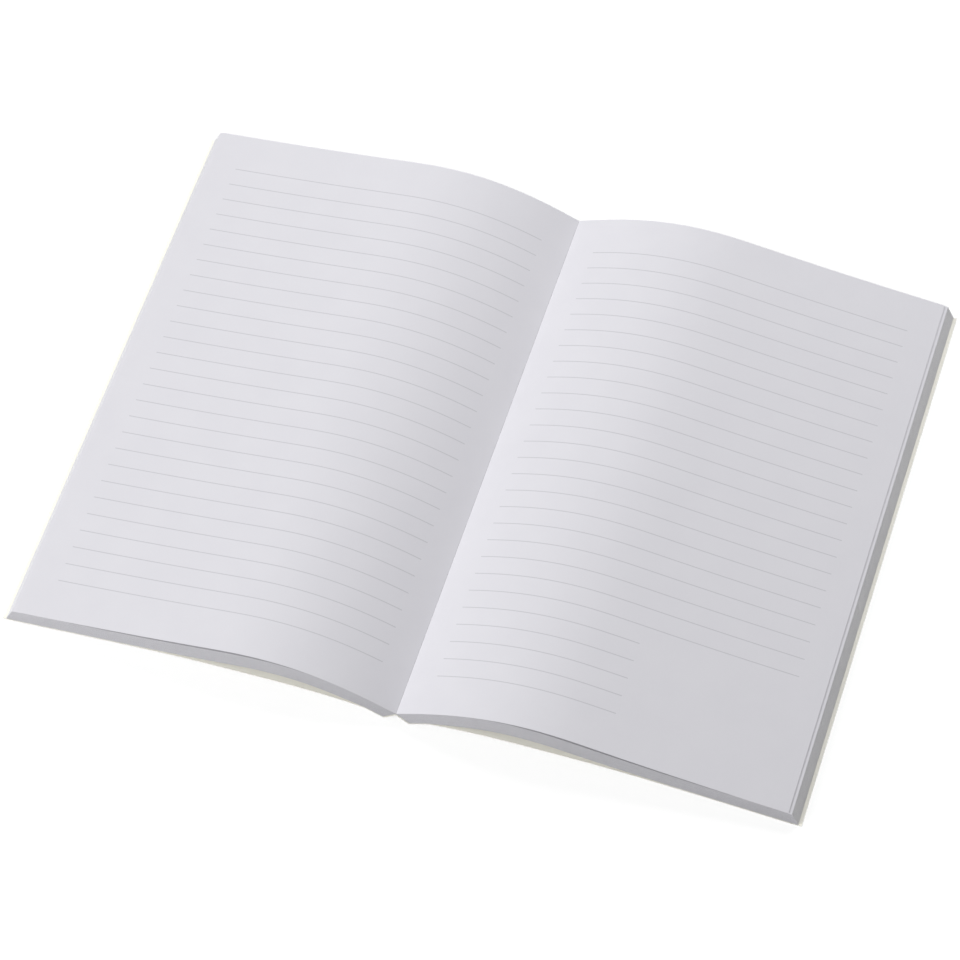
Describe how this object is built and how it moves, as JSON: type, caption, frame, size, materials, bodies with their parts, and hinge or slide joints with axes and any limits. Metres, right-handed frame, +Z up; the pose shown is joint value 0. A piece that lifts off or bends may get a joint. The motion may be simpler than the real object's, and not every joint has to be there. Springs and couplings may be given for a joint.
{
  "type": "open lined notebook",
  "caption": "Softcover lined notebook lying open at its middle: two arched halves of leaves glued at the spine into a one-piece card cover.",
  "frame": {"origin": "on the table, midway between the two fore-edges and between head and tail, under the fold of the spine", "axes": "+X towards the fore-edge of the right-hand page, +Y towards the head, +Z up from the table"},
  "size_m": [0.2692, 0.21, 0.0161],
  "materials": {
    "paper": "matte",
    "card": "satin",
    "glue": "satin"
  },
  "bodies": {
    "back_half": {"right_pages": "paper", "spine_glue_right": "glue", "spine_strip_right": "card"},
    "front_half": {"left_pages": "paper", "spine_glue_left": "glue", "spine_strip_left": "card"},
    "back_cover": {"back_cover": "card"},
    "front_cover": {"front_cover": "card"}
  },
  "joints": [
    {"name": "closing", "type": "hinge", "parent": "back_half", "child": "front_half", "pos_m": [0, 0, 0.00428], "axis": [0, 1, 0], "range_deg": [0, 125]},
    {"name": "front_cover_hinge", "type": "hinge", "parent": "front_half", "child": "front_cover", "pos_m": [-0.01057, 0, 0.0029], "axis": [0, -1, 0], "range_deg": [0, 90]},
    {"name": "back_cover_hinge", "type": "hinge", "parent": "back_half", "child": "back_cover", "pos_m": [0.01057, 0, 0.0029], "axis": [0, 1, 0], "range_deg": [0, 90]}
  ]
}
